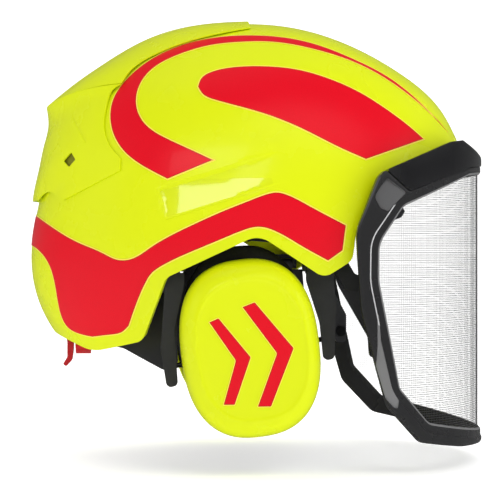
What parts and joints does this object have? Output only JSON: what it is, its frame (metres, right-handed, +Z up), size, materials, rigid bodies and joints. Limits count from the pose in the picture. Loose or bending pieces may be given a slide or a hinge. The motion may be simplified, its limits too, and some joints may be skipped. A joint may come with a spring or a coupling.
{
  "type": "forestry helmet",
  "caption": "Forestry safety helmet with a vented shell, inner harness, swing-up mesh visor, hinged ear muffs and a rear size knob.",
  "frame": {"origin": "middle of the head opening in the mid-plane, level with the ear canals", "axes": "+X to the front (visor side), +Z up through the crown, so the wearer's right is -Y"},
  "size_m": [0.2993, 0.2446, 0.2777],
  "materials": {
    "shell_yellow": "glossy",
    "film_red": "glossy film",
    "black_plastic": "satin",
    "dark_grey_plastic": "satin gloss",
    "impact_foam": "moulded foam",
    "webbing": "woven",
    "soft_foam": "soft foam",
    "steel": "zinc plated",
    "mesh_wire": "woven wire, black",
    "knob_red": "glossy"
  },
  "bodies": {
    "helmet": {"outer_shell": "shell_yellow", "crown_vent_cover": "shell_yellow", "rear_vent_panel": "shell_yellow", "inner_liner": "impact_foam", "crown_stripe_film": "film_red", "brow_panel_film": "film_red", "lower_band_film": "film_red", "headband": "black_plastic", "sweatband": "soft_foam", "crown_strap_long": "webbing", "crown_strap_cross": "webbing", "crown_pad": "soft_foam", "harness_clips": "black_plastic", "visor_pivot_brackets": "black_plastic", "bracket_screws": "steel", "visor_pivot_pins": "steel", "visor_arm_guides": "black_plastic", "ear_hinge_brackets": "black_plastic", "ear_hinge_pins": "steel", "adjuster_housing": "black_plastic", "lever_bracket": "black_plastic", "lever_pin": "steel"},
    "visor": {"visor_frame": "dark_grey_plastic", "visor_mesh": "mesh_wire", "mesh_retainer": "dark_grey_plastic", "visor_brow_bar": "dark_grey_plastic", "visor_arm_right": "dark_grey_plastic", "visor_arm_left": "dark_grey_plastic", "visor_screws": "steel", "mesh_latches": "dark_grey_plastic"},
    "knob": {"size_knob": "knob_red"},
    "nape": {"nape_cradle": "dark_grey_plastic", "nape_pad": "soft_foam"},
    "lever": {"release_lever": "knob_red"},
    "right_yoke": {"right_yoke_legs": "dark_grey_plastic"},
    "right_carrier": {"right_ear_sliders": "black_plastic", "right_tilt_pins": "steel"},
    "right_muff": {"right_ear_cup": "shell_yellow", "right_ear_back_plate": "black_plastic", "right_ear_cushion": "soft_foam", "right_acoustic_foam": "soft_foam", "right_chevron_film": "film_red"},
    "left_yoke": {"left_yoke_legs": "dark_grey_plastic"},
    "left_carrier": {"left_ear_sliders": "black_plastic", "left_tilt_pins": "steel"},
    "left_muff": {"left_ear_cup": "shell_yellow", "left_ear_back_plate": "black_plastic", "left_ear_cushion": "soft_foam", "left_acoustic_foam": "soft_foam", "left_chevron_film": "film_red"}
  },
  "joints": [
    {"name": "visor_tilt", "type": "hinge", "parent": "helmet", "child": "visor", "pos_m": [0.002, 0, 0.042], "axis": [0, -1, 0], "range_deg": [0, 50]},
    {"name": "right_muff_swing", "type": "hinge", "parent": "helmet", "child": "right_yoke", "pos_m": [0, -0.0945, 0.017], "axis": [-1, 0, 0], "range_deg": [0, 9]},
    {"name": "right_muff_height", "type": "slide", "parent": "right_yoke", "child": "right_carrier", "axis": [0, 0, 1], "range_m": [-0.01, 0]},
    {"name": "right_muff_tilt", "type": "hinge", "parent": "right_carrier", "child": "right_muff", "pos_m": [-0.0544, -0.0909, -0.0446], "axis": [0.9849, 0, 0.1733], "range_deg": [-7, 7]},
    {"name": "left_muff_swing", "type": "hinge", "parent": "helmet", "child": "left_yoke", "pos_m": [0, 0.0945, 0.017], "axis": [1, 0, 0], "range_deg": [0, 9]},
    {"name": "left_muff_height", "type": "slide", "parent": "left_yoke", "child": "left_carrier", "axis": [0, 0, 1], "range_m": [-0.01, 0]},
    {"name": "left_muff_tilt", "type": "hinge", "parent": "left_carrier", "child": "left_muff", "pos_m": [-0.0544, 0.0909, -0.0446], "axis": [0.9849, 0, 0.1733], "range_deg": [-7, 7]},
    {"name": "size_knob_turn", "type": "hinge", "parent": "helmet", "child": "knob", "pos_m": [-0.111, 0, -0.02], "axis": [-1, 0, 0], "range_deg": [0, 270]},
    {"name": "nape_slide", "type": "slide", "parent": "helmet", "child": "nape", "axis": [1, 0, 0], "range_m": [0, 0.012]},
    {"name": "release_lever_tilt", "type": "hinge", "parent": "helmet", "child": "lever", "pos_m": [-0.12, 0, -0.029], "axis": [0, 1, 0], "range_deg": [0, 18]}
  ],
  "couplings": [
    {"joint": "nape_slide", "follows": "size_knob_turn", "m_per_rad": 0.0025465}
  ]
}
